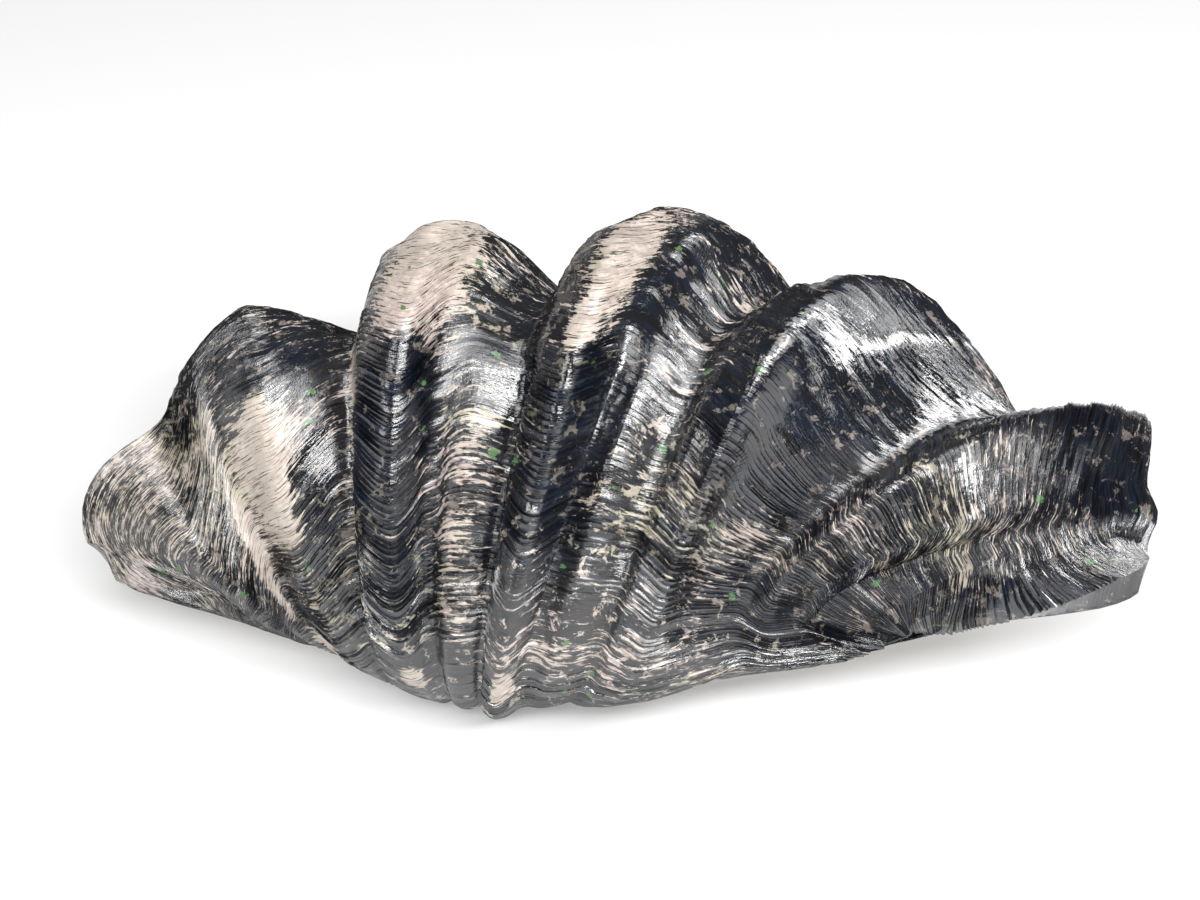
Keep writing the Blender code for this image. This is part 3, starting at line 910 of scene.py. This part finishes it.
def shell_material(settings):
    """Black lacquer over shell: worn cream along ledges and patches, green flecks, an ivory inside."""
    material = bpy.data.materials.new("lacquered_shell")
    nodes = Nodes(material)
    growth = nodes.add("ShaderNodeUVMap", uv_map="growth").outputs[0]
    place = nodes.add("ShaderNodeTexCoord").outputs["Object"]
    inside = nodes.value("inside")
    worn = nodes.value("worn")
    dull = nodes.value("dull")
    relief = nodes.value("relief")

    # Streaks drawn out along the growth lines, then spots on the object's own coordinates
    broad = nodes.streaks(growth, BROAD_STREAKS, 4.0, 0.6, 0.3)
    streak = nodes.streaks(growth, STREAKS, 4.0, 0.65, 0.2)
    hair = nodes.streaks(growth, HAIRS, 3.0, 0.6)
    slit = nodes.streaks(growth, SLITS, 3.0, 0.55, 0.3)
    radial = nodes.streaks(growth, RADIAL_LINES, 2.0, 0.5)
    bands = nodes.streaks(growth, INSIDE_BANDS, 3.0, 0.5)
    blotch = nodes.noise(place, BLOTCH_SCALE, 5.0, 0.6, 0.6)
    grain = nodes.noise(place, GRAIN_SCALE, 4.0, 0.65)
    speckle = nodes.noise(place, SPECKLE_SCALE, 4.0, 0.7, 0.4)
    algae = nodes.noise(place, MOSS_SCALE, 3.0, 0.6)

    # Shell is bare where the score is high, apart from dark slits, and in small spots where it is dull
    score = nodes.weighted(
        (streak, 1.3),
        (broad, 0.7),
        (hair, 0.45),
        (blotch, 0.9),
        (grain, 0.35),
        (worn, settings.wear_patches),
        (relief, settings.wear_ledges),
    )
    bare = nodes.step(score, settings.wear_start, settings.wear_start + 0.14)
    lost = nodes.math("MULTIPLY", bare, -0.9)
    bare = nodes.math("MULTIPLY_ADD", nodes.step(slit, 0.56, 0.62), lost, bare)
    spots = nodes.math("MULTIPLY", nodes.step(speckle, 0.57, 0.64), nodes.step(dull, -0.5, 0.8))
    bare = nodes.math("MAXIMUM", bare, nodes.math("MULTIPLY", spots, 0.85))
    thin = nodes.step(score, settings.wear_start - 0.34, settings.wear_start + 0.05)
    thin = nodes.math("MULTIPLY", thin, 0.25)
    grey = nodes.math("MAXIMUM", thin, nodes.math("MULTIPLY", dull, 0.4), clamp=True)

    lacquer = nodes.mix(nodes.step(broad, 0.35, 0.7), colour(settings.black), colour(settings.blue_black))
    dulled = nodes.mix(grey, lacquer, colour(settings.grey))
    warm = nodes.mix(nodes.step(blotch, 0.42, 0.62), colour(settings.cream), colour(settings.pink_beige))
    warm = nodes.mix(nodes.step(grain, 0.40, 0.75), warm, colour(settings.pale))
    mossy = nodes.math("MULTIPLY", nodes.step(algae, 0.50, 0.62), 0.5)
    mossy = nodes.math("MULTIPLY", mossy, nodes.step(worn, 0.75, 0.25))
    warm = nodes.mix(mossy, warm, colour(settings.moss))
    outside = nodes.mix(bare, dulled, warm)

    # Green flecks: ragged spots in the middle of a few cells
    cells = nodes.add("ShaderNodeTexVoronoi", {"Vector": place, "Scale": FLECK_SCALE})
    ragged = nodes.math("MULTIPLY_ADD", speckle, 1.1, cells.outputs["Distance"])
    lot = nodes.add("ShaderNodeSeparateColor", {0: cells.outputs["Color"]}).outputs[0]
    fleck = nodes.math("MULTIPLY", nodes.step(ragged, 0.73, 0.65), nodes.step(lot, 0.83, 0.85))
    outside = nodes.mix(fleck, outside, colour(settings.green))

    ivory = nodes.mix(nodes.step(bands, 0.35, 0.7), colour(settings.ivory), colour(settings.ivory_band))
    within = nodes.step(inside, 0.25, 0.75)
    nodes.put(nodes.mix(within, outside, ivory), nodes.shader.inputs["Base Color"])

    roughness = nodes.weighted(
        (settings.lacquer_roughness, 1.0),
        (bare, 0.22),
        (dull, 0.20),
        (nodes.step(blotch, 0.48, 0.60), 0.16),
        (within, 0.10),
    )
    nodes.put(nodes.math("MAXIMUM", roughness, LEAST_ROUGHNESS), nodes.shader.inputs["Roughness"])
    nodes.put(SPECULAR_LEVEL, nodes.shader.inputs["Specular IOR Level"])
    nodes.put(settings.lacquer_index, nodes.shader.inputs["IOR"])

    # Fine relief under the lacquer, almost none of it on the inside
    height = nodes.weighted(
        (streak, 1.4),
        (hair, 0.35),
        (slit, -0.5),
        (grain, 0.10),
        (bare, 0.10),
        (nodes.math("MULTIPLY", radial, nodes.step(blotch, 0.45, 0.6)), 0.8),
    )
    outwards = nodes.math("SUBTRACT", 1.0, nodes.math("MULTIPLY", within, 0.93))
    height = nodes.math("MULTIPLY", height, outwards)
    inputs = {"Strength": BUMP_STRENGTH, "Distance": BUMP_DISTANCE, "Height": height}
    nodes.put(nodes.add("ShaderNodeBump", inputs), nodes.shader.inputs["Normal"])
    return material


def plain_material(name, shade, roughness, glow):
    """One plain colour that also gives off a little white light."""
    material = bpy.data.materials.new(name)
    nodes = Nodes(material)
    nodes.put((*shade, 1.0), nodes.shader.inputs["Base Color"])
    nodes.put(roughness, nodes.shader.inputs["Roughness"])
    nodes.put((1.0, 1.0, 1.0, 1.0), nodes.shader.inputs["Emission Color"])
    nodes.put(glow, nodes.shader.inputs["Emission Strength"])
    return material


def length_setting(name, description, default):
    return bpy.props.FloatProperty(
        name=name,
        description=description,
        default=default,
        unit="LENGTH",
        subtype="DISTANCE",
        precision=5,
    )


def power_setting(name, description, default):
    return bpy.props.FloatProperty(name=name, description=description, default=default, unit="POWER")


def colour_setting(name, description, default):
    return bpy.props.FloatVectorProperty(
        name=name,
        description=description,
        default=default,
        subtype="COLOR",
        size=3,
        min=0.0,
        max=1.0,
    )


def number_setting(name, description, default):
    return bpy.props.FloatProperty(name=name, description=description, default=default)


class CLAM_PG_valve(bpy.types.PropertyGroup):
    """Sizes and colours of the valve."""

    line_spacing: length_setting("Line spacing", "Mean distance between growth ledges", 0.0030)
    line_wobble: number_setting("Line wobble", "How far a growth line strays, in line spacings", 0.45)
    ledge_height: length_setting("Ledge height", "Height of a usual growth ledge", 0.0021)
    rim_bulge: length_setting("Rim bulge", "How far the rim is rounded outwards", 0.0025)
    wear_start: number_setting("Wear start", "Streak score at which bare shell shows", 2.02)
    wear_patches: number_setting("Wear of patches", "How strongly the worn patches count", 0.75)
    wear_ledges: number_setting("Wear of ledges", "How strongly ledge lips count", 0.22)
    lacquer_roughness: number_setting("Lacquer roughness", "Roughness of the black lacquer", 0.10)
    lacquer_index: number_setting("Lacquer index", "Refractive index of the lacquer", 1.6)
    black: colour_setting("Black", "Lacquer in the hollows", (0.003, 0.003, 0.004))
    blue_black: colour_setting("Blue black", "Lacquer with a blue tint", (0.005, 0.008, 0.016))
    grey: colour_setting("Grey", "Lacquer worn thin", (0.019, 0.018, 0.017))
    cream: colour_setting("Cream", "Bare shell", (0.36, 0.305, 0.26))
    pink_beige: colour_setting("Pink beige", "Bare shell with a pink tint", (0.33, 0.265, 0.24))
    pale: colour_setting("Pale", "Palest bare shell", (0.45, 0.41, 0.36))
    moss: colour_setting("Moss", "Bare shell with old algae", (0.24, 0.235, 0.14))
    green: colour_setting("Green", "Small algae flecks", (0.055, 0.12, 0.045))
    ivory: colour_setting("Ivory", "Smooth inside", (0.80, 0.76, 0.68))
    ivory_band: colour_setting("Ivory band", "Growth bands on the inside", (0.70, 0.64, 0.54))


class CLAM_PG_studio(bpy.types.PropertyGroup):
    """Floor, lights and camera."""

    floor_shade: colour_setting("Floor", "Colour of the floor", (0.46, 0.46, 0.46))
    floor_glow: number_setting("Floor glow", "Light of the lit table, which keeps shadows pale", 0.32)
    key_power: power_setting("Key power", "Overhead light", 18.0)
    front_power: power_setting("Front power", "Long light in front", 80.0)
    left_power: power_setting("Left power", "Light on the left", 7.0)
    right_power: power_setting("Right power", "Light on the right", 14.0)
    world_strength: number_setting("World strength", "Light from the white room", 0.12)
    distance: length_setting("Camera distance", "From the camera to its target", 1.9)
    lens: number_setting("Lens", "Focal length in mm", 101.34)


class CLAM_OT_valve(bpy.types.Operator):
    """Builds the ribbed valve in place of the plain solid."""

    bl_idname = "clam.valve"
    bl_label = "Valve"

    def execute(self, context):
        settings = context.scene.clam_valve
        points, faces, growth_map, values = valve_arrays(settings)
        if len(faces) >= MOST_TRIANGLES:
            raise RuntimeError("the valve has too many triangles")
        material = shell_material(settings)
        piece = mesh_object("clam_valve", points, faces, growth_map, values, material)
        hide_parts("valve")
        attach(piece, "root")
        return {"FINISHED"}


def area_light(name, power, size, place):
    """A white rectangular light that looks at the valve."""
    data = bpy.data.lights.new(name, "AREA")
    data.shape = "RECTANGLE"
    data.size = size[0]
    data.size_y = size[1]
    data.energy = power
    light = bpy.data.objects.new(name, data)
    aim_at(light, place, LIGHT_TARGET)
    bpy.context.scene.collection.objects.link(light)


def aim_at(item, place, target):
    """Puts a camera or light at a place, looking at a target with its top upwards."""
    forward = unit(np.array(target, dtype=float) - np.array(place, dtype=float))
    right = unit(np.cross(forward, np.array((0.0, 0.0, 1.0)) + 1e-6))
    top = np.cross(right, forward)
    matrix = np.eye(4)
    matrix[:3, 0] = right
    matrix[:3, 1] = top
    matrix[:3, 2] = -forward
    matrix[:3, 3] = place
    item.matrix_world = Matrix([list(row) for row in matrix])


class CLAM_OT_studio(bpy.types.Operator):
    """Adds the pale floor, the soft lights and the camera."""

    bl_idname = "clam.studio"
    bl_label = "Studio"

    def execute(self, context):
        settings = context.scene.clam_studio
        half = FLOOR_HALF
        white = plain_material("studio_white", settings.floor_shade, FLOOR_ROUGHNESS, settings.floor_glow)
        mesh = bpy.data.meshes.new("studio_floor")
        corners = [(-half, -half, 0.0), (half, -half, 0.0), (half, half, 0.0), (-half, half, 0.0)]
        mesh.from_pydata(corners, [], [(0, 1, 2, 3)])
        mesh.materials.append(white)
        floor = bpy.data.objects.new("studio_floor", mesh)
        context.scene.collection.objects.link(floor)

        world = bpy.data.worlds.new("studio_world")
        world.use_nodes = True
        background = world.node_tree.nodes["Background"]
        background.inputs["Color"].default_value = (1.0, 1.0, 1.0, 1.0)
        background.inputs["Strength"].default_value = settings.world_strength
        context.scene.world = world

        context.scene.view_settings.view_transform = "Standard"
        for name, power, size, place in LIGHTS:
            area_light(name, getattr(settings, power), size, place)

        target = np.array(CAMERA_TARGET)
        view = np.array((0.0, -math.cos(CAMERA_ELEVATION), math.sin(CAMERA_ELEVATION)))
        data = bpy.data.cameras.new("studio_camera")
        data.sensor_width = SENSOR_WIDTH
        data.lens = settings.lens
        camera = bpy.data.objects.new("studio_camera", data)
        aim_at(camera, target + view * settings.distance, target)
        context.scene.collection.objects.link(camera)
        context.scene.camera = camera
        return {"FINISHED"}


class CLAM_PT_panel(bpy.types.Panel):
    bl_label = "Giant clam valve"
    bl_idname = "CLAM_PT_panel"
    bl_space_type = "VIEW_3D"
    bl_region_type = "UI"
    bl_category = "Clam"

    def draw(self, context):
        for group, operator in (("clam_valve", "clam.valve"), ("clam_studio", "clam.studio")):
            settings = getattr(context.scene, group)
            box = self.layout.box()
            for key in settings.__annotations__:
                box.prop(settings, key)
            box.operator(operator)


CLASSES = (CLAM_PG_valve, CLAM_PG_studio, CLAM_OT_valve, CLAM_OT_studio, CLAM_PT_panel)


def register():
    for item in CLASSES:
        bpy.utils.register_class(item)
    bpy.types.Scene.clam_valve = bpy.props.PointerProperty(type=CLAM_PG_valve)
    bpy.types.Scene.clam_studio = bpy.props.PointerProperty(type=CLAM_PG_studio)


def unregister():
    del bpy.types.Scene.clam_studio
    del bpy.types.Scene.clam_valve
    for item in reversed(CLASSES):
        bpy.utils.unregister_class(item)


def main():
    register()
    bpy.ops.clam.valve()
    bpy.ops.clam.studio()


if __name__ == "__main__":
    main()
